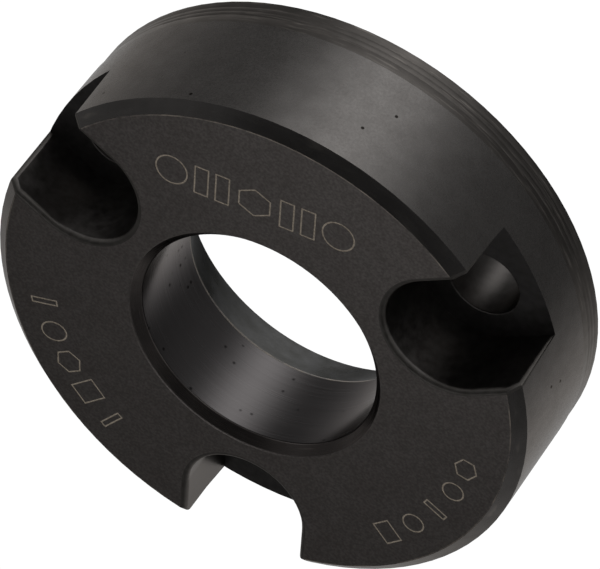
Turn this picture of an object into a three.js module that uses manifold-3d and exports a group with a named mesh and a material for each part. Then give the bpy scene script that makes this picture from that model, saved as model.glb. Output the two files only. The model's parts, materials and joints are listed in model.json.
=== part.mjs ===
// Face-mount receiver bushing for a 16 mm quick-change locating shank.
//
// One hardened steel ring, turned and ground all over, lying on its seating face.
// Millimetres, +Z up. The origin is the centre of the seating face, and the ring's axis is +Z.
// The marked face is up. Three screw pockets are milled through the rim, one of them at -Y.

import * as THREE from 'three';
import { mergeVertices } from 'three/addons/utils/BufferGeometryUtils.js';
import Module from 'manifold-3d';

// Ring
const outerRadius = 18;
const thickness = 10.65;
const rimChamferWidth = 0.75;
const rimChamferDepth = 0.65;

// Relief turned at the seating end of the ground outer diameter
const reliefHeight = 2.2;
const reliefCut = 0.06;

// Bore for the shank, and the seat behind it that the locking balls wedge against
const boreRadius = 8;
const boreChamfer = 0.6;
const boreLength = 6.75;
const ballSeatRadius = 10.25;

// Three pockets for M4 cap screws, each open through the rim, with a clearance hole in its floor
const pocketCount = 3;
const firstPocketAngle = -Math.PI / 2;
const screwCircleRadius = 14.25;
const pocketWidth = 8;
const pocketDepth = 5.25;
const screwHoleRadius = 2.25;

// Facets
const turnedSegments = 120;
const pocketEndSegments = 20;
const holeSegments = 32;

// How far each cutter runs past the surface that it cuts through
const overrun = 1;

const wasm = await Module();
wasm.setup();

// A closed three.js geometry as a manifold solid.
function solidFrom(geometry) {
  const bare = geometry.clone();
  bare.deleteAttribute('normal');
  bare.deleteAttribute('uv');
  const merged = mergeVertices(bare, 1e-5);
  return new wasm.Manifold(new wasm.Mesh({
    numProp: 3,
    vertProperties: new Float32Array(merged.attributes.position.array),
    triVerts: new Uint32Array(merged.index.array),
  }));
}

// A manifold solid as a three.js geometry.
function geometryFrom(solid) {
  const mesh = solid.getMesh();
  const geometry = new THREE.BufferGeometry();
  geometry.setAttribute('position', new THREE.BufferAttribute(mesh.vertProperties, 3));
  geometry.setIndex(new THREE.BufferAttribute(mesh.triVerts, 1));
  geometry.computeVertexNormals();
  return geometry;
}

// The section of the ring, as [radius, height] points, from the bore's mouth round by the seat.
function ringProfile() {
  const coneHeight = thickness - boreLength;
  const reliefRadius = outerRadius - reliefCut;
  const points = [
    [boreRadius, thickness - boreChamfer],
    [boreRadius, coneHeight],
    [ballSeatRadius, 0],
    [reliefRadius, 0],
    [reliefRadius, reliefHeight],
    [outerRadius, reliefHeight],
    [outerRadius, thickness - rimChamferDepth],
    [outerRadius - rimChamferWidth, thickness],
    [boreRadius + boreChamfer, thickness],
    [boreRadius, thickness - boreChamfer],
  ];
  return points.map(([radius, height]) => new THREE.Vector2(radius, height));
}

// The plain ring, before milling.
function turnedRing() {
  const geometry = new THREE.LatheGeometry(ringProfile(), turnedSegments);
  geometry.rotateX(Math.PI / 2);
  return solidFrom(geometry);
}

// The block of air in one pocket: parallel walls, a round inner end, and open past the rim.
function pocketCutter(angle) {
  const halfWidth = pocketWidth / 2;
  const reach = outerRadius + overrun;
  const outline = new THREE.Shape();
  outline.moveTo(reach, halfWidth);
  outline.lineTo(screwCircleRadius, halfWidth);
  outline.absarc(screwCircleRadius, 0, halfWidth, Math.PI / 2, 3 * Math.PI / 2, false);
  outline.lineTo(reach, -halfWidth);
  const geometry = new THREE.ExtrudeGeometry(outline, {
    depth: pocketDepth + overrun,
    bevelEnabled: false,
    curveSegments: pocketEndSegments,
  });
  geometry.translate(0, 0, thickness - pocketDepth);
  geometry.rotateZ(angle);
  return solidFrom(geometry);
}

// The clearance hole from one pocket's floor to the seating face.
function screwHoleCutter(angle) {
  const depth = thickness - pocketDepth + 2 * overrun;
  const geometry = new THREE.CylinderGeometry(screwHoleRadius, screwHoleRadius, depth, holeSegments);
  geometry.rotateX(Math.PI / 2);
  geometry.translate(screwCircleRadius, 0, depth / 2 - overrun);
  geometry.rotateZ(angle);
  return solidFrom(geometry);
}

function bushingGeometry() {
  let ring = turnedRing();
  for (let index = 0; index < pocketCount; index += 1) {
    const angle = firstPocketAngle + index * 2 * Math.PI / pocketCount;
    ring = ring.subtract(pocketCutter(angle));
    ring = ring.subtract(screwHoleCutter(angle));
  }
  return geometryFrom(ring);
}

const blackOxideSteel = new THREE.MeshStandardMaterial({
  color: 0x4a4746,
  roughness: 0.35,
  metalness: 0.9,
});

const receiverBushing = new THREE.Group();

const bushing = new THREE.Mesh(bushingGeometry(), blackOxideSteel);
bushing.name = 'receiver_bushing';
receiverBushing.add(bushing);

export default receiverBushing;
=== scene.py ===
# %% [markdown]
# # A face-mount receiver bushing in black-oxide steel
#
# A receiver bushing is a hardened ring that is screwed to a fixture plate. A 16 mm shank drops
# through its bore, and the shank's balls spread under it and wedge against a flared seat.
# The real one is cut from one bar, so it is one piece here too. What tells its story is the
# finish that each tool left: ground, turned, honed or milled, all under the same black oxide.

# %% Load the frame
import json
import math

import bmesh
import bpy
from mathutils import Matrix, Vector


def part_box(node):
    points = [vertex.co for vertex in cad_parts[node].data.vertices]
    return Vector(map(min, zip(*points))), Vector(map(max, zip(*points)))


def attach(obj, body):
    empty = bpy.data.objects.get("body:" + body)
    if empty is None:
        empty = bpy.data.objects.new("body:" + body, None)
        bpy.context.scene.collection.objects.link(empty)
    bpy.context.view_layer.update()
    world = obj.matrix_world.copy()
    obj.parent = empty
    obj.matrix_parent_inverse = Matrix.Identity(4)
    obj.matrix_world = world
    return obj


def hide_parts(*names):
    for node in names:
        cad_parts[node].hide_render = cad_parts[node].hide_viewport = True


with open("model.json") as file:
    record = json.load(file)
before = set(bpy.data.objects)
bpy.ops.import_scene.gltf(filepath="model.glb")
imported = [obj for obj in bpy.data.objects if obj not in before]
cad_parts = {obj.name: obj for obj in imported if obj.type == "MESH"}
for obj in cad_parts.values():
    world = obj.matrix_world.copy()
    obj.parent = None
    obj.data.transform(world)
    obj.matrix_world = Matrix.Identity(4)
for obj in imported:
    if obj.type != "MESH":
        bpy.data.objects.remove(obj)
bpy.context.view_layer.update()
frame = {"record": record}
NODE = "receiver_bushing"
low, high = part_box(NODE)
print("CAD node", NODE, "from", tuple(low), "to", tuple(high))

# %% [markdown]
# ## Sizes
#
# The work is done in millimetres, as a machinist would, and the finished mesh is scaled to metres.
# The ring's diameter and height come from the frame, and so does the height of the pocket floors,
# which is where the record's screw shelf mount lies. The rest are the sizes of the cuts.

# %% Sizes in millimetres
MM = 0.001
radius = high.x / MM
height = high.z / MM
mounts = {mount["name"]: mount for mount in frame["record"]["mounts"]}
shelf_height = mounts["screw_shelf_1"]["pos_m"][2] / MM

bore_radius = 8.0
bore_chamfer = 0.6
bore_length = 6.75
seat_radius = 10.25
rim_chamfer_width = 0.75
rim_chamfer_depth = 0.65
relief_height = 2.2
relief_cut = 0.06
screw_circle_radius = 14.25
pocket_half_width = 4.0
screw_hole_radius = 2.25
pocket_angles = [math.radians(degrees) for degrees in (-90, 30, 150)]
hole_middles = [Vector((math.cos(a), math.sin(a))) * screw_circle_radius for a in pocket_angles]
print(f"ring {2 * radius:.2f} x {height:.2f} mm, pocket floor at {shelf_height:.2f} mm")

# %% [markdown]
# ## The camera
#
# The ring is small and the lens is long, so its circles look like nearly true ellipses. The camera
# stands about 0.3 m away, 40 degrees above the marked face, and it is rolled over on its side, so
# that the face looks down and to the left of the frame, as on a part that is held up to be seen.

# %% Camera
camera_azimuth = math.radians(67.1)
camera_elevation = math.radians(40.2)
camera_roll = math.radians(-142.6)
camera_distance = 308.8
camera_target = Vector((1.13, 2.80, 7.08))
camera_lens = 307.4

toward_camera = Vector((
    math.cos(camera_elevation) * math.cos(camera_azimuth),
    math.cos(camera_elevation) * math.sin(camera_azimuth),
    math.sin(camera_elevation),
))
level_right = Vector((0, 0, 1)).cross(toward_camera).normalized()
level_up = toward_camera.cross(level_right)
facing = Matrix((level_right, level_up, toward_camera)).transposed()
rolled = facing @ Matrix.Rotation(camera_roll, 3, "Z")
camera_place = (camera_target + toward_camera * camera_distance) * MM

camera_data = bpy.data.cameras.new("camera")
camera_data.lens = camera_lens
camera_data.clip_start = 0.01
camera = bpy.data.objects.new("camera", camera_data)
camera.matrix_world = Matrix.Translation(camera_place) @ rolled.to_4x4()
bpy.context.scene.collection.objects.link(camera)
bpy.context.scene.camera = camera
print("camera at", tuple(camera.location))

# %% [markdown]
# ## Helpers for materials
#
# Colours are given as on a screen, in sRGB, while a shader works in linear light. One function
# turns a hex value from the first to the second. A second one adds a node with its settings and
# links in a single line, so that a material reads as a list of steps.

# %% Colour and node helpers
def linear(hex_colour):
    """A colour such as "#7a7876" as a linear RGBA tuple."""
    channels = [int(hex_colour[place:place + 2], 16) / 255 for place in (1, 3, 5)]
    low_part = [value / 12.92 for value in channels]
    high_part = [((value + 0.055) / 1.055) ** 2.4 for value in channels]
    mixed = [a if value <= 0.04045 else b for value, a, b in zip(channels, low_part, high_part)]
    return (*mixed, 1.0)


def add(tree, kind, inputs=None, out=None, **settings):
    """Adds a node, and gives back the node, or the one output that is named or numbered by out.

    An input is a plain value, or the output socket that feeds it.
    """
    node = tree.nodes.new(kind)
    for name, value in settings.items():
        setattr(node, name, value)
    for name, value in (inputs or {}).items():
        socket = node.inputs[name]
        if isinstance(value, bpy.types.NodeSocket):
            tree.links.new(value, socket)
        else:
            socket.default_value = value
    return node if out is None else node.outputs[out]


# %% [markdown]
# ## The light
#
# A dark, satin metal shows little of its own colour. What the eye reads as its shape is the room
# in it. So the room is drawn first: a plain studio whose pale wall fades upwards and ends a little
# below the horizon, with soft boards of light in it. A board is a smooth lobe about a direction:
# the cosine of the angle to it, raised to a power that makes it tighter. The lobes add up.
#
# Steeply below, the room is shaded, because what stands on a table darkens it, and one more lobe
# there is light that comes back up into the ring. Heights in the room are sines, from -1 to 1.

# %% Studio room
def studio_direction(azimuth, elevation):
    """A unit vector, with the azimuth counted in degrees from the camera's side."""
    around = camera_azimuth + math.radians(azimuth)
    above = math.radians(elevation)
    level = math.cos(above)
    return (level * math.cos(around), level * math.sin(around), math.sin(above))


room_glow = 0.02
wall_glow = 0.35
wall_top_fade = (-0.1, 0.55)
wall_foot_fade = (-0.58, -0.3)
under_shade = 0.25
under_fade = (-0.86, -0.68)
soft_lobes = [
    # azimuth, elevation, strength, tightness
    (20, -40, 1.15, 18),
    (-140, -36, 1.00, 12),
    (150, -36, 0.55, 11),
    (180, -34, 0.15, 2),
    (0, 12, 0.45, 14),
    (75, 18, 0.35, 18),
    (-60, 18, 0.35, 18),
    (0, -50, 0.14, 1.5),
]
bounce_lobe = (147, -72, 2.40, 12)

world = bpy.data.worlds.new("studio")
world.use_nodes = True
bpy.context.scene.world = world
room = world.node_tree
room.nodes.clear()
direction = add(room, "ShaderNodeTexCoord", out="Generated")


def add_lobe(base, azimuth, elevation, strength, tightness):
    """The level so far, plus one soft lobe about a direction."""
    middle = studio_direction(azimuth, elevation)
    along = add(room, "ShaderNodeVectorMath", {0: direction, 1: middle},
                operation="DOT_PRODUCT", out="Value")
    in_front = add(room, "ShaderNodeMath", {0: along, 1: 0.0}, operation="MAXIMUM", out=0)
    tight = add(room, "ShaderNodeMath", {0: in_front, 1: tightness}, operation="POWER", out=0)
    return add(room, "ShaderNodeMath", {0: tight, 1: strength, 2: base},
               operation="MULTIPLY_ADD", out=0)


rise = add(room, "ShaderNodeSeparateXYZ", {0: direction}, out="Z")
wall_top = add(room, "ShaderNodeMapRange", {
    "Value": rise, "From Min": wall_top_fade[0], "From Max": wall_top_fade[1],
    "To Min": wall_glow, "To Max": room_glow,
}, out="Result")
wall_foot = add(room, "ShaderNodeMapRange", {
    "Value": rise, "From Min": wall_foot_fade[0], "From Max": wall_foot_fade[1],
    "To Min": 0.0, "To Max": 1.0,
}, out="Result")
wall = add(room, "ShaderNodeMath", {0: wall_top, 1: wall_foot}, operation="MULTIPLY", out=0)
level = add(room, "ShaderNodeMath", {0: wall, 1: room_glow}, operation="ADD", out=0)
for lobe in soft_lobes:
    level = add_lobe(level, *lobe)
shade = add(room, "ShaderNodeMapRange", {
    "Value": rise, "From Min": under_fade[0], "From Max": under_fade[1],
    "To Min": under_shade, "To Max": 1.0,
}, interpolation_type="SMOOTHSTEP", out="Result")
shaded = add(room, "ShaderNodeMath", {0: level, 1: shade}, operation="MULTIPLY", out=0)
level = add_lobe(shaded, *bounce_lobe)
background = add(room, "ShaderNodeBackground", {"Color": (1, 1, 1, 1), "Strength": level}, out=0)
add(room, "ShaderNodeOutputWorld", {"Surface": background})
bpy.context.scene.view_settings.view_transform = "Standard"
print("studio room with", len(soft_lobes) + 1, "soft lobes")

# %% [markdown]
# ## The floor
#
# The floor is a sheet of lit white acrylic: it glows evenly, so the ring casts no shadow on it. Its
# reflection is left to the room, which keeps the ring's side from washing out. It lies a hair
# below the ring, because two faces at one height would show through each other in patches.

# %% Floor
def new_object(name, data):
    made = bpy.data.objects.new(name, data)
    bpy.context.scene.collection.objects.link(made)
    return made


floor_half_size = 2000.0
floor_gap = 0.1
floor_glow = 1.05
floor_mesh = bpy.data.meshes.new("floor")
shape = bmesh.new()
bmesh.ops.create_grid(shape, x_segments=1, y_segments=1, size=floor_half_size * MM)
shape.to_mesh(floor_mesh)
shape.free()
lit_acrylic = bpy.data.materials.new("lit_white_acrylic")
lit_acrylic.use_nodes = True
acrylic = lit_acrylic.node_tree
acrylic.nodes.clear()
glow = add(acrylic, "ShaderNodeEmission", {"Color": linear("#ffffff"), "Strength": floor_glow}, out=0)
add(acrylic, "ShaderNodeOutputMaterial", {"Surface": glow})
floor_mesh.materials.append(lit_acrylic)
floor_mesh.transform(Matrix.Translation((0, 0, -floor_gap * MM)))
floor = new_object("floor", floor_mesh)
floor.visible_glossy = False
print(f"floor {2 * floor_half_size * MM:.0f} m across, {floor_gap} mm under the ring")

# %% [markdown]
# ## Turning the ring
#
# A lathe makes the ring, so the model does too: half of its section is drawn as a wire, the corners
# round the bore are broken a little as a deburring tool would, and the wire is spun once round the
# axis. The section runs from the bore's mouth down to the ball seat, out along the seating face,
# and up the outside, over the relief with its three fine tool lines, to the rim's chamfer. The outer
# corners are left crisp, because the mill crosses them next and they are rounded with its edges.

# %% Section of the ring
spin_steps = 96
corner_break = 0.08
seat_edge_break = 0.06
tool_line_depth = 0.008
tool_line_width = 0.08
tool_line_heights = (0.62, 1.02, 1.42)


def ring_section():
    """Half of the section, as (distance from the axis, height) points."""
    relief_radius = radius - relief_cut
    points = [
        (bore_radius, height - bore_chamfer),
        (bore_radius, height - bore_length),
        (seat_radius, 0),
        (relief_radius - seat_edge_break, 0),
        (relief_radius, seat_edge_break),
    ]
    for line_height in tool_line_heights:
        points.append((relief_radius, line_height - tool_line_width / 2))
        points.append((relief_radius - tool_line_depth, line_height))
        points.append((relief_radius, line_height + tool_line_width / 2))
    points += [
        (relief_radius, relief_height - relief_cut),
        (radius, relief_height),
        (radius, height - rim_chamfer_depth),
        (radius - rim_chamfer_width, height),
        (bore_radius + bore_chamfer, height),
    ]
    return points


def settle(shape):
    """Puts vertices, edges and faces in an order that depends only on where they lie.

    Some operators hand back their results in an order that changes from run to run, and the later
    cuts would then divide the flat faces in other ways.
    """
    slant = Vector((1.0, math.sqrt(7), math.sqrt(41)))
    shape.verts.sort(key=lambda vert: vert.co.dot(slant))
    shape.edges.sort(key=lambda edge: (edge.verts[0].co + edge.verts[1].co).dot(slant))
    shape.faces.sort(key=lambda face: face.calc_center_median().dot(slant))


def turn_ring():
    shape = bmesh.new()
    corners = [shape.verts.new((x, 0, z)) for x, z in ring_section()]
    for near, far in zip(corners, corners[1:] + corners[:1]):
        shape.edges.new((near, far))
    inner_corners = [corner for corner in corners if corner.co.x < seat_radius + corner_break]
    bmesh.ops.bevel(shape, geom=inner_corners, offset=corner_break, offset_type="OFFSET",
                    affect="VERTICES", segments=2, profile=0.5, material=-1)
    settle(shape)
    bmesh.ops.spin(shape, geom=shape.verts[:] + shape.edges[:], axis=(0, 0, 1), cent=(0, 0, 0),
                   angle=2 * math.pi, steps=spin_steps, use_merge=True)
    bmesh.ops.remove_doubles(shape, verts=shape.verts, dist=0.002)
    bmesh.ops.recalc_face_normals(shape, faces=shape.faces)
    settle(shape)
    return shape


def to_object(name, shape):
    mesh = bpy.data.meshes.new(name)
    shape.to_mesh(mesh)
    shape.free()
    return new_object(name, mesh)


bushing = to_object("bushing", turn_ring())
print("turned ring:", len(bushing.data.polygons), "faces")

# %% [markdown]
# ## Milling the pockets and drilling the holes
#
# An end mill sinks in over each screw hole and runs straight out through the rim, which leaves a
# U-shaped pocket. Its path swept by its width is a stadium, so the cutter is a circle with one half
# pulled outwards, raised into a block. The Boolean modifier takes it away, with its exact solver,
# because the cutters' faces must meet the ring's without gaps.

# %% Cutters
pocket_end_segments = 48
hole_segments = 48
overrun = 1.0


def stadium_block(shape, half_width, pull, bottom, top, angle, segments):
    """A block with a stadium outline, its inner round end centred over a screw hole."""
    made = bmesh.ops.create_circle(shape, cap_ends=True, segments=segments, radius=half_width)
    outer = [v for v in made["verts"] if v.co.x > 0.001]
    bmesh.ops.translate(shape, verts=outer, vec=(pull, 0, 0))
    face = made["verts"][0].link_faces[0]
    raised = bmesh.ops.extrude_face_region(shape, geom=[face], use_keep_orig=True)["geom"]
    top_verts = [item for item in raised if isinstance(item, bmesh.types.BMVert)]
    bmesh.ops.translate(shape, verts=top_verts, vec=(0, 0, top - bottom))
    everything = list(set(made["verts"]) | set(top_verts))
    sunk = Matrix.Translation((screw_circle_radius, 0, bottom))
    bmesh.ops.transform(shape, matrix=Matrix.Rotation(angle, 4, "Z") @ sunk, verts=everything)


def cut(target, name, shape):
    """Takes a closed shape away from the target, and leaves the result as its plain mesh."""
    bmesh.ops.recalc_face_normals(shape, faces=shape.faces)
    settle(shape)
    cutter = to_object(name, shape)
    boolean = target.modifiers.new(name, "BOOLEAN")
    boolean.operation = "DIFFERENCE"
    boolean.solver = "EXACT"
    boolean.object = cutter
    evaluated = target.evaluated_get(bpy.context.evaluated_depsgraph_get())
    result = bpy.data.meshes.new_from_object(evaluated)
    target.modifiers.clear()
    old = target.data
    target.data = result
    bpy.data.meshes.remove(old)
    bpy.data.objects.remove(cutter)
    print(name, "leaves", len(result.polygons), "faces")


pockets = bmesh.new()
for angle in pocket_angles:
    stadium_block(pockets, pocket_half_width, radius, shelf_height, height + overrun,
                  angle, pocket_end_segments)
cut(bushing, "pocket_cutter", pockets)

holes = bmesh.new()
for angle in pocket_angles:
    stadium_block(holes, screw_hole_radius, 0, -overrun, height + overrun, angle, hole_segments)
cut(bushing, "hole_cutter", holes)

# %% [markdown]
# ## Rounding the milled edges
#
# The sharp edges that the mill leaves are tumbled off before the ring is hardened. Only edges where
# two surfaces meet at an open corner are rounded, found by their place and by the angle between
# their faces. Flat areas are joined into single faces first, so that the bevel has room to run.

# %% Round the edges
milled_edge_radius = 0.36
hole_edge_break = 0.12
flat_angle = math.radians(0.5)
corner_angle = math.radians(24)
on_line = 0.02


def wall_distance(point, angle):
    """Distance from a pocket's wall: positive in the steel, negative in the pocket."""
    turned_back = Matrix.Rotation(-angle, 3, "Z") @ point
    past_centre = max(0.0, screw_circle_radius - turned_back.x)
    return math.hypot(past_centre, turned_back.y) - pocket_half_width if turned_back.x > 0 else radius


def is_open_corner(edge):
    return len(edge.link_faces) == 2 and edge.calc_face_angle_signed(0.0) > corner_angle


def on_pocket_wall(edge):
    above_floor = max(v.co.z for v in edge.verts) > shelf_height + on_line / 2
    return above_floor and any(
        all(abs(wall_distance(v.co, angle)) < on_line for v in edge.verts) for angle in pocket_angles)


def on_screw_hole(edge):
    return any(
        all(abs((v.co.xy - middle).length - screw_hole_radius) < on_line for v in edge.verts)
        for middle in hole_middles)


def round_edges(shape, wanted, offset, segments):
    edges = [edge for edge in shape.edges if is_open_corner(edge) and wanted(edge)]
    bmesh.ops.bevel(shape, geom=edges, offset=offset, offset_type="OFFSET", affect="EDGES",
                    segments=segments, profile=0.5, material=-1, clamp_overlap=False)
    settle(shape)
    print("rounded", len(edges), "edges by", offset, "mm")


def count_open_edges(shape):
    return sum(len(edge.link_faces) != 2 for edge in shape.edges)


shape = bmesh.new()
shape.from_mesh(bushing.data)
bmesh.ops.remove_doubles(shape, verts=shape.verts, dist=0.001)
settle(shape)
bmesh.ops.dissolve_limit(shape, angle_limit=flat_angle, verts=shape.verts, edges=shape.edges)
round_edges(shape, on_pocket_wall, milled_edge_radius, 4)
round_edges(shape, on_screw_hole, hole_edge_break, 2)
print("open or doubled edges:", count_open_edges(shape))
shape.to_mesh(bushing.data)
shape.free()

# %% [markdown]
# ## Laser-etched marks
#
# A maker etches a sign on the marked face as thin outlines. The ones here are plain shapes: rings,
# bars, squares and hexagons. Each is a flat shape whose inside is taken out by an inset, which
# leaves a band one beam wide, and the bands are sunk into the face by 0.03 mm. They are cut and not
# painted, so that they stay in the mesh wherever the part is used.

# %% Outline shapes
beam_width = 0.11
etch_depth = 0.03


def outline(shape, sides, width, depth, place):
    """A thin closed frame: a regular shape stretched to a width and depth, one beam wide."""
    made = bmesh.ops.create_circle(shape, cap_ends=True, segments=sides, radius=1.0)
    first_turn = math.pi / sides if sides == 4 else 0.0
    corner = 1 / math.sqrt(2) if sides == 4 else 1.0
    scale = Matrix.Diagonal((width / 2 / corner, depth / 2 / corner, 1, 1))
    bmesh.ops.transform(shape, matrix=scale @ Matrix.Rotation(first_turn, 4, "Z"), verts=made["verts"])
    inside = made["verts"][0].link_faces[0]
    band = bmesh.ops.inset_region(shape, faces=[inside], thickness=beam_width,
                                  use_boundary=True, use_even_offset=True)["faces"]
    bmesh.ops.delete(shape, geom=[inside], context="FACES_ONLY")
    raised = bmesh.ops.extrude_face_region(shape, geom=band, use_keep_orig=True)["geom"]
    top = [item for item in raised if isinstance(item, bmesh.types.BMVert)]
    bmesh.ops.translate(shape, verts=top, vec=(0, 0, etch_depth + overrun))
    everything = list({v for f in band for v in f.verts} | set(top))
    bmesh.ops.transform(shape, matrix=place, verts=everything)


def on_face(across, up, angle=0.0):
    """A place on the marked face, counted from the axis and turned round it by an angle."""
    return Matrix.Rotation(angle, 4, "Z") @ Matrix.Translation((across, up, height - etch_depth))


# %% [markdown]
# The sign is a straight row above the bore. The two smaller rows, where a size and a part number
# would be, follow the rim, so each of their shapes is turned round the axis by one more step.

# %% Etch them
sign_height = 11.75
sign_shapes = [
    # sides, width, depth, distance along the row
    (32, 2.2, 2.2, -6.1),
    (4, 1.0, 2.2, -4.1),
    (4, 1.0, 2.2, -2.7),
    (6, 2.5, 2.2, -0.55),
    (4, 1.0, 2.2, 1.6),
    (4, 1.0, 2.2, 3.0),
    (32, 2.2, 2.2, 5.0),
]
side_mark_radius = 14.85
side_mark_pitch = math.radians(9.2)
side_rows = {
    # angle of the row's middle, then sides, width and depth of each shape
    -148: [(4, 0.5, 1.9), (32, 1.6, 1.9), (6, 1.9, 1.9), (4, 1.6, 1.9), (4, 0.5, 1.9)],
    -30: [(4, 1.3, 1.7), (32, 1.5, 1.5), (4, 0.5, 1.7), (32, 1.5, 1.5), (6, 1.8, 1.6)],
}

marks = bmesh.new()
for sides, width, depth, along in sign_shapes:
    outline(marks, sides, width, depth, on_face(along, sign_height))
for middle_angle, row in side_rows.items():
    for index, (sides, width, depth) in enumerate(row):
        from_middle = (index - (len(row) - 1) / 2) * side_mark_pitch
        turn = math.radians(middle_angle) - math.pi / 2 + from_middle
        outline(marks, sides, width, depth, on_face(0, side_mark_radius, turn))
cut(bushing, "etching", marks)

# %% [markdown]
# ## Black oxide
#
# Black oxide is a skin of magnetite, one or two thousandths of a millimetre thick, that a hot salt
# bath grows on steel. It is not paint: it keeps every tool mark, and shines as a dark metal. So the
# finishes start from one dark grey, and differ in tone, in roughness and in the tool's pattern.
# Seen edge-on, the skin mirrors less than bare steel does, so its edge tint is a grey too.
#
# Patterns are laid out in millimetres: a noise's lumps are as wide as one over its scale. Noise that
# is squeezed along the radius and the height, and stretched across, reads as fine lines that run
# round the ring, as turning and cylindrical grinding leave them. Noise stays mostly between 0.3 and
# 0.7, so that part of it is spread over each range of colour and roughness.
#
# Blender's Mix node has an A and a B for each kind of value, so its colour ones go by their number.

# %% Shared parts of the finishes
MM_PER_METRE = 1000.0
oxide_dark = "#6f6c6a"
oxide_light = "#797674"
cloud_size = 1.4
climb = 1.7
COLOUR_A = 6
COLOUR_B = 7
COLOUR_RESULT = 2


def start_material(name):
    material = bpy.data.materials.new(name)
    material.use_nodes = True
    material.node_tree.nodes.clear()
    return material, material.node_tree


def millimetres(tree):
    """The place on the piece, in millimetres."""
    place = add(tree, "ShaderNodeTexCoord", out="Object")
    return add(tree, "ShaderNodeVectorMath", {0: place, "Scale": MM_PER_METRE},
               operation="SCALE", out=0)


def radius_of(tree, place):
    """Distance from the ring's axis."""
    flat = add(tree, "ShaderNodeVectorMath", {0: place, 1: (1, 1, 0)}, operation="MULTIPLY", out=0)
    return add(tree, "ShaderNodeVectorMath", {0: flat}, operation="LENGTH", out="Value")


def round_lines(tree, place, pitch, length):
    """Fine lines round the axis, a pitch apart, that fade in and out over a length.

    Height and radius are added into one, so that the lines show on upright and on flat surfaces.
    """
    parts = add(tree, "ShaderNodeSeparateXYZ", {0: place})
    lift = add(tree, "ShaderNodeMath", {0: parts.outputs["Z"], 1: climb, 2: radius_of(tree, place)},
               operation="MULTIPLY_ADD", out=0)
    fine = add(tree, "ShaderNodeMath", {0: lift, 1: 1 / pitch}, operation="MULTIPLY", out=0)
    slow = [
        add(tree, "ShaderNodeMath", {0: parts.outputs[axis], 1: 1 / length},
            operation="MULTIPLY", out=0)
        for axis in "XY"
    ]
    stretched = add(tree, "ShaderNodeCombineXYZ", {"X": slow[0], "Y": slow[1], "Z": fine}, out=0)
    return add(tree, "ShaderNodeTexNoise", {
        "Vector": stretched, "Scale": 1.0, "Detail": 3.0, "Roughness": 0.5,
    }, out="Fac")


def patterned(tree, pattern, low_colour, high_colour, start=0.3, stop=0.7, most=1.0):
    """One colour where a pattern is low, another where it is high: hex values or sockets."""
    share = add(tree, "ShaderNodeMapRange", {
        "Value": pattern, "From Min": start, "From Max": stop, "To Min": 0.0, "To Max": most,
    }, out="Result")
    ends = [linear(end) if isinstance(end, str) else end for end in (low_colour, high_colour)]
    return add(tree, "ShaderNodeMix", {"Factor": share, COLOUR_A: ends[0], COLOUR_B: ends[1]},
               data_type="RGBA", out=COLOUR_RESULT)


def oxide_colour(tree, place, dark=oxide_dark, light=oxide_light):
    """The oxide's faint clouds, where the bath took a little more or less."""
    clouds = add(tree, "ShaderNodeTexNoise", {
        "Vector": place, "Scale": 1 / cloud_size, "Detail": 4.0, "Roughness": 0.6,
    }, out="Fac")
    return patterned(tree, clouds, dark, light)


def finish_metal(tree, colour, pattern, smooth, rough, relief, relief_depth,
                 edge_tint="#c4c2c0", metallic=1.0):
    """A metal skin. Its roughness goes from smooth to rough with a pattern.

    The relief is a pattern too, its depth is in millimetres, and the tint is the skin's edge-on.
    """
    roughness = add(tree, "ShaderNodeMapRange", {
        "Value": pattern, "From Min": 0.3, "From Max": 0.7, "To Min": smooth, "To Max": rough,
    }, out="Result")
    bump = add(tree, "ShaderNodeBump", {"Height": relief, "Distance": relief_depth * MM}, out=0)
    skin = add(tree, "ShaderNodeBsdfPrincipled", {
        "Base Color": colour, "Metallic": metallic, "Roughness": roughness,
        "Specular Tint": linear(edge_tint), "Normal": bump,
    }, out=0)
    add(tree, "ShaderNodeOutputMaterial", {"Surface": skin})


# %% [markdown]
# The outside and the seat are ground: an abrasive wheel runs round them and leaves a satin skin
# with hair lines. The grit's real lines are about 0.02 mm apart, too fine to show, so they are
# drawn at 0.1 mm. Every few millimetres the bath has left a small dark pit.

# %% Ground finish
ground_line_pitch = 0.10
ground_line_length = 7.0
ground_grain = 0.16
ground_pit_spacing = 3.1
ground_pit_share = 0.035
line_share = 0.6


def ground_oxide(name, roughness, edge_tint, dark=oxide_dark, light=oxide_light):
    material, tree = start_material(name)
    place = millimetres(tree)
    lines = round_lines(tree, place, ground_line_pitch, ground_line_length)
    grain = add(tree, "ShaderNodeTexNoise", {
        "Vector": place, "Scale": 1 / ground_grain, "Detail": 2.0, "Roughness": 0.5,
    }, out="Fac")
    to_pit = add(tree, "ShaderNodeTexVoronoi", {"Vector": place, "Scale": 1 / ground_pit_spacing},
                 feature="F1", out="Distance")
    in_pit = add(tree, "ShaderNodeMath", {0: to_pit, 1: ground_pit_share},
                 operation="LESS_THAN", out=0)
    colour = add(tree, "ShaderNodeMix", {
        "Factor": in_pit, COLOUR_A: oxide_colour(tree, place, dark, light),
        COLOUR_B: linear("#2a2725"),
    }, data_type="RGBA", out=COLOUR_RESULT)
    relief = add(tree, "ShaderNodeMath", {0: lines, 1: line_share, 2: grain},
                 operation="MULTIPLY_ADD", out=0)
    finish_metal(tree, colour, grain, roughness - 0.04, roughness + 0.04, relief, 0.0016, edge_tint)
    return material


# %% [markdown]
# The marked face is ground flat and then tumbled with stones, which leaves an even, dull grain
# with no direction. Single grains of it took the oxide darker. The real grain is a few hundredths
# of a millimetre and is drawn at 0.13 to 0.17 mm. Where the face meets the rim's chamfer, a thin pale
# line is painted along the edge in patches. It is partly a painted highlight, for the light that the
# edge's small rounding catches, and partly rubbed-through steel, because that edge is the first thing
# to touch a bench.

# %% Tumbled face finish, with a painted highlight on its rim
face_grain = 0.13
fleck_size = 0.17
fleck_strength = 0.45
rim_glint_half_width = 0.085
rim_glint_depth = 0.09
rim_glint_patch_size = 2.6


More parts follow.
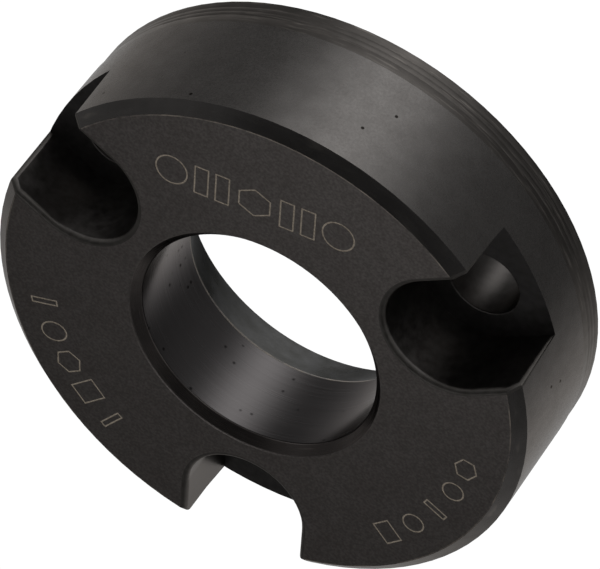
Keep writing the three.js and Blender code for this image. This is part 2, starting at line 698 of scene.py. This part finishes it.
def rim_glint_and_wear(tree, place):
    """How pale the face's outer edge is painted, in patches, and 0 elsewhere: partly a painted
    highlight for the edge's rounding, partly rubbed oxide.
    """
    rise = add(tree, "ShaderNodeSeparateXYZ", {0: place}, out="Z")
    at_rim = add(tree, "ShaderNodeMath", {
        0: radius_of(tree, place), 1: radius - rim_chamfer_width, 2: rim_glint_half_width,
    }, operation="COMPARE", out=0)
    at_top = add(tree, "ShaderNodeMath", {0: rise, 1: height - rim_glint_depth},
                 operation="GREATER_THAN", out=0)
    edge = add(tree, "ShaderNodeMath", {0: at_rim, 1: at_top}, operation="MULTIPLY", out=0)
    patches = add(tree, "ShaderNodeTexNoise", {
        "Vector": place, "Scale": 1 / rim_glint_patch_size, "Detail": 6.0, "Roughness": 0.75,
    }, out="Fac")
    glint_and_rubbed = add(tree, "ShaderNodeMapRange", {
        "Value": patches, "From Min": 0.42, "From Max": 0.66, "To Min": 0.0, "To Max": 0.95,
    }, out="Result")
    return add(tree, "ShaderNodeMath", {0: edge, 1: glint_and_rubbed}, operation="MULTIPLY", out=0)


def tumbled_oxide(name):
    material, tree = start_material(name)
    place = millimetres(tree)
    grain = add(tree, "ShaderNodeTexNoise", {
        "Vector": place, "Scale": 1 / face_grain, "Detail": 3.0, "Roughness": 0.5,
    }, out="Fac")
    flecks = add(tree, "ShaderNodeTexNoise", {
        "Vector": place, "Scale": 1 / fleck_size, "Detail": 2.0, "Roughness": 0.5,
    }, out="Fac")
    clouded = oxide_colour(tree, place, "#86807d", "#8e8986")
    skin = patterned(tree, flecks, clouded, "#544e4c", 0.35, 0.65, fleck_strength)
    # The pale colour on the outer edge is partly a painted highlight and partly rubbed steel.
    colour = add(tree, "ShaderNodeMix", {
        "Factor": rim_glint_and_wear(tree, place), COLOUR_A: skin, COLOUR_B: linear("#d8ccbe"),
    }, data_type="RGBA", out=COLOUR_RESULT)
    finish_metal(tree, colour, grain, 0.34, 0.46, grain, 0.0040)
    return material


# %% [markdown]
# The chamfers and the relief behind the ground diameter are left as the lathe made them. The tip's
# feed lines run round, deeper than a wheel's. A finishing feed is about 0.05 mm a turn, and is
# drawn at 0.13 mm. The relief is scuffed in streaks where the ring is driven home.

# %% Turned finish
feed_pitch = 0.13
feed_length = 5.0
streak_pitch = 0.22
streak_length = 2.4


def turned_oxide(name, roughness, scuff_start, dark=oxide_dark, light=oxide_light):
    material, tree = start_material(name)
    place = millimetres(tree)
    lines = round_lines(tree, place, feed_pitch, feed_length)
    streaks = round_lines(tree, place, streak_pitch, streak_length)
    clouded = oxide_colour(tree, place, dark, light)
    colour = patterned(tree, streaks, clouded, "#9a948e", scuff_start, scuff_start + 0.16, 0.75)
    finish_metal(tree, colour, streaks, roughness - 0.05, roughness + 0.05, lines, 0.002)
    return material


# %% [markdown]
# The step where the ground diameter ends stands proud of the relief, and the corner where the bore
# meets the seat is sharp. Both are painted as a pale line, broken where the edge lies lower: partly a
# painted highlight, for the light that these narrow edges catch, and partly rubbed oxide that lets the
# steel show. Rubbed oxide is partly bare, dry steel, so this finish is a little less metallic than
# the rest and scatters some light.

# %% Rubbed edge finish, with a painted highlight
wear_and_glint_patch_size = 1.8


def wear_and_glint_edge(name):
    material, tree = start_material(name)
    place = millimetres(tree)
    wear_and_glint = add(tree, "ShaderNodeTexNoise", {
        "Vector": place, "Scale": 1 / wear_and_glint_patch_size, "Detail": 5.0, "Roughness": 0.7,
    }, out="Fac")
    # The pale end of this colour is partly a painted highlight on the narrow edges.
    colour = patterned(tree, wear_and_glint, oxide_light, "#928a81", 0.40, 0.62)
    finish_metal(tree, colour, wear_and_glint, 0.55, 0.40, wear_and_glint, 0.004, metallic=0.88)
    return material


# %% [markdown]
# The bore is honed for the shank to slide in, so it is the smoothest surface. Its lines are about
# 0.01 mm apart and are drawn at 0.1 mm. Where the bath was damp for longer it has bitten small dark
# pits, in clusters: cells are picked by chance, and noise says where more of them are picked.

# %% Honed finish
bore_pit_spacing = 0.75
damp_patch_size = 5.0
hone_line_pitch = 0.1
hone_line_length = 6.0


def clustered_pits(tree, place):
    """How deep in a pit: 0 on the clean bore. Cells are drawn by lot, more of them where damp."""
    cells = add(tree, "ShaderNodeTexVoronoi", {"Vector": place, "Scale": 1 / bore_pit_spacing},
                feature="F1")
    lot = add(tree, "ShaderNodeSeparateColor", {0: cells.outputs["Color"]}, out=0)
    patches = add(tree, "ShaderNodeTexNoise", {
        "Vector": place, "Scale": 1 / damp_patch_size, "Detail": 1.0, "Roughness": 0.5,
    }, out="Fac")
    damp = add(tree, "ShaderNodeMapRange", {
        "Value": patches, "From Min": 0.42, "From Max": 0.60, "To Min": 0.0, "To Max": 0.7,
    }, out="Result")
    chosen = add(tree, "ShaderNodeMath", {0: lot, 1: damp}, operation="LESS_THAN", out=0)
    near = add(tree, "ShaderNodeMapRange", {
        "Value": cells.outputs["Distance"], "From Min": 0.08, "From Max": 0.20,
        "To Min": 0.85, "To Max": 0.0,
    }, out="Result")
    return add(tree, "ShaderNodeMath", {0: near, 1: chosen}, operation="MULTIPLY", out=0)


def honed_oxide(name):
    material, tree = start_material(name)
    place = millimetres(tree)
    lines = round_lines(tree, place, hone_line_pitch, hone_line_length)
    colour = add(tree, "ShaderNodeMix", {
        "Factor": clustered_pits(tree, place),
        COLOUR_A: patterned(tree, lines, "#615e5e", "#6d6a6a"), COLOUR_B: linear("#1c1a1a"),
    }, data_type="RGBA", out=COLOUR_RESULT)
    finish_metal(tree, colour, lines, 0.22, 0.28, lines, 0.0006)
    return material


# %% [markdown]
# The pockets are milled. Their walls are satin, and their floors, which the cutter's end scrapes,
# are rougher. They look nearly black partly because what they mirror is mostly each other, and
# partly through painted shade: their colours, rims included, are darker than the oxide elsewhere,
# and the floor's are darkest. The cutter's marks are finer than 0.1 mm, so they are drawn as soft
# patches of 0.5 mm.

# %% Milled finish
cutter_mark_size = 0.5


def milled_oxide(name, dark, light, roughness):
    material, tree = start_material(name)
    place = millimetres(tree)
    sweep = add(tree, "ShaderNodeTexNoise", {
        "Vector": place, "Scale": 1 / cutter_mark_size, "Detail": 3.0, "Roughness": 0.5,
    }, out="Fac")
    colour = patterned(tree, sweep, dark, light)
    finish_metal(tree, colour, sweep, roughness - 0.04, roughness + 0.04, sweep, 0.0015,
                 metallic=0.98)
    return material


# %% [markdown]
# A laser burns the oxide off and leaves a dry, dull line of crusted steel. It scatters light rather
# than mirroring it, so it isn't metallic, and stays lighter than the face however dark the room is.

# %% Etched finish
crust_size = 0.12


def etched_steel(name):
    material, tree = start_material(name)
    place = millimetres(tree)
    crust = add(tree, "ShaderNodeTexNoise", {
        "Vector": place, "Scale": 1 / crust_size, "Detail": 2.0, "Roughness": 0.5,
    }, out="Fac")
    bump = add(tree, "ShaderNodeBump", {"Height": crust, "Distance": 0.004 * MM}, out=0)
    skin = add(tree, "ShaderNodeBsdfPrincipled", {
        "Base Color": patterned(tree, crust, "#70685d", "#90877b"),
        "Metallic": 0.0, "Roughness": 0.8, "Normal": bump,
    }, out=0)
    add(tree, "ShaderNodeOutputMaterial", {"Surface": skin})
    return material


# %% [markdown]
# ## Which face has which finish
#
# The lathe, the wheel, the mill and the laser each reached their own part of the ring, and a face's
# place and direction say which it was. One function answers that, and every face gets its finish.

# %% Finishes
finishes = {
    "face": tumbled_oxide("black_oxide_tumbled_face"),
    "outside": ground_oxide("black_oxide_ground_outside", 0.28, "#b4b2b0"),
    # The seat's dark grey edge tint is a painted shade: it dims the glancing light that the flared seat
    # mirrors of itself.
    "seat": ground_oxide("black_oxide_ground_seat_painted_shade", 0.36, "#6e6e6e", "#6b6b6a", "#747474"),
    "chamfer": turned_oxide("black_oxide_turned_chamfer", 0.27, 0.62),
    "mouth": turned_oxide("black_oxide_turned_mouth", 0.27, 0.62, "#55504e", "#5f5a58"),
    "relief": turned_oxide("black_oxide_turned_relief", 0.34, 0.58, "#5c5956", "#696562"),
    "worn_and_glint": wear_and_glint_edge("black_oxide_worn_edge_painted_glint"),
    "bore": honed_oxide("black_oxide_honed_bore"),
    # The pockets' darker colours, the floor's darkest, are painted shade.
    "wall": milled_oxide("black_oxide_milled_wall", "#575452", "#676462", 0.34),
    "rounded": milled_oxide("black_oxide_tumbled_edge", "#5b5855", "#6b6865", 0.48),
    "floor": milled_oxide("black_oxide_milled_floor_painted_shade", "#4a4847", "#585655", 0.46),
    "etched": etched_steel("laser_etched_steel"),
}
finish_order = list(finishes)
bushing.data.materials.clear()
for material in finishes.values():
    bushing.data.materials.append(material)
print(len(finishes), "finishes")

# %% [markdown]
# The tests run from the surest to the vaguest. The outside and the rim's chamfer are known by their
# direction. The etched grooves are the only faces just under the marked face. Pockets and holes are
# known by the distance to their walls, and what is left is told apart by its radius and height.

# %% Finish of a face
close_by = 0.01
rim_normal = Vector((rim_chamfer_depth, rim_chamfer_width)).normalized()


def finish_of(face):
    centre, normal = face.calc_center_median(), face.normal
    out = centre.xy.length
    outward = normal.xy.dot(centre.xy) / out
    to_wall = min(wall_distance(centre, angle) for angle in pocket_angles)
    to_hole = min((centre.xy - middle).length for middle in hole_middles)
    flat_or_upright = abs(normal.z) < 0.01 or normal.z > 0.999
    in_groove = height - etch_depth - close_by < centre.z < height - close_by / 2
    in_hole = (to_hole < screw_hole_radius + hole_edge_break + close_by
               and centre.z < shelf_height + close_by)
    in_pocket = centre.z > shelf_height - close_by and to_wall < milled_edge_radius + close_by

    if out > radius - relief_cut / 2 and outward > 0.998 and centre.z > relief_height:
        return "outside"
    if out > radius - rim_chamfer_width and (Vector((outward, normal.z)) - rim_normal).length < 0.02:
        return "chamfer"
    if in_groove and flat_or_upright and to_wall > milled_edge_radius + close_by:
        return "etched"
    if centre.z > height - close_by or centre.z < close_by:
        return "face"
    if out < bore_radius + bore_chamfer + corner_break and centre.z > height - corner_break:
        return "face"
    if in_pocket and not in_hole and to_wall > close_by:
        return "rounded"
    if in_hole or in_pocket:
        return "floor" if abs(centre.z - shelf_height) < close_by else "wall"
    # Both pale edge lines are partly a painted highlight.
    if out < bore_radius + corner_break and abs(centre.z - (height - bore_length)) < 0.7 * corner_break:
        return "worn_and_glint"
    if out < bore_radius + close_by and abs(normal.z) < 0.3:
        return "bore"
    if out < seat_radius and normal.z < -0.05:
        return "seat"
    if out > radius - relief_cut and abs(centre.z - relief_height) < 1.5 * relief_cut:
        return "worn_and_glint"
    if out < bore_radius + bore_chamfer + close_by:
        return "mouth"
    return "relief" if centre.z < relief_height + close_by else "chamfer"


# %% [markdown]
# ## Smooth shading
#
# A rounded edge should shade smoothly into the surfaces on either side without bending the light on
# them. The Weighted Normal modifier does that once each face says how much it counts: it reads an
# integer layer that Blender keeps for it, where -16384 is weak and 16384 is strong. The narrow
# steps of a rounded edge are weak, and all the real surfaces are strong. Weighting by face area
# would be simpler, but at this small size, in metres, the areas are too small for the modifier.

# %% Give every face its finish and its strength
narrowest_flat = 0.15
weak_face = -16384
strong_face = 16384


def is_rounding(face, finish):
    """Whether a face is only a step of a rounded edge, whose neighbours are the real surfaces."""
    perimeter = sum(edge.calc_length() for edge in face.edges)
    narrow = 2 * face.calc_area() / perimeter < narrowest_flat
    out = face.calc_center_median().xy.length
    return finish == "rounded" or (narrow and finish != "etched" and out < radius - 2 * relief_cut)


shape = bmesh.new()
shape.from_mesh(bushing.data)
strength = shape.faces.layers.int.new("__mod_weightednormals_faceweight")
counts = dict.fromkeys(finish_order, 0)
for face in shape.faces:
    finish = finish_of(face)
    face.material_index = finish_order.index(finish)
    face[strength] = weak_face if is_rounding(face, finish) else strong_face
    counts[finish] += 1
print("faces by finish:", counts)

# %% [markdown]
# The mesh is now scaled from millimetres to metres, so that the object itself stays unscaled at the
# origin. Edges sharper than 30 degrees stay crisp.

# %% Scale to metres and shade smoothly
bmesh.ops.scale(shape, vec=(MM, MM, MM), verts=shape.verts)
print("open or doubled edges:", count_open_edges(shape))
shape.to_mesh(bushing.data)
shape.free()
bushing.data.shade_smooth()
bushing.data.set_sharp_from_angle(angle=math.radians(30))
weighted = bushing.modifiers.new("weighted_normals", "WEIGHTED_NORMAL")
weighted.mode = "CORNER_ANGLE"
weighted.use_face_influence = True
weighted.keep_sharp = True

# %% [markdown]
# ## Two lamps
#
# The room alone would leave the etched lines as dim as the face. A large soft key hangs over it,
# and it is kept out of mirror reflections, so that it lights the dry lines and not the metal. A
# small panel hangs close by on the far side. Because it is near, the flat face mirrors it from one
# corner only, and that gives the face the slow fall from light to dark that a distant room can't.

# %% Key and panel
key_place = Vector((0.05, 0.1, 0.4))
key_size = 0.3
key_power = 0.95
panel_place = Vector(studio_direction(180, 72)) * 0.12
panel_size = 0.06
panel_power = 0.006


def add_disk_lamp(name, place, size, power):
    """A round area lamp at a place in metres, turned to shine on the ring."""
    data = bpy.data.lights.new(name, "AREA")
    data.shape = "DISK"
    data.size = size
    data.energy = power
    lamp = new_object(name, data)
    aim = place.to_track_quat("Z", "Y").to_matrix().to_4x4()
    lamp.matrix_world = Matrix.Translation(place) @ aim
    print(name, "lamp", round(place.length, 3), "m from the ring")
    return lamp


key = add_disk_lamp("key", key_place, key_size, key_power)
key.visible_glossy = False
add_disk_lamp("panel", panel_place, panel_size, panel_power)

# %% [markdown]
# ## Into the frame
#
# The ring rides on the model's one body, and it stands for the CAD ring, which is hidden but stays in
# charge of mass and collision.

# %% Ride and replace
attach(bushing, "root")
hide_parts(NODE)
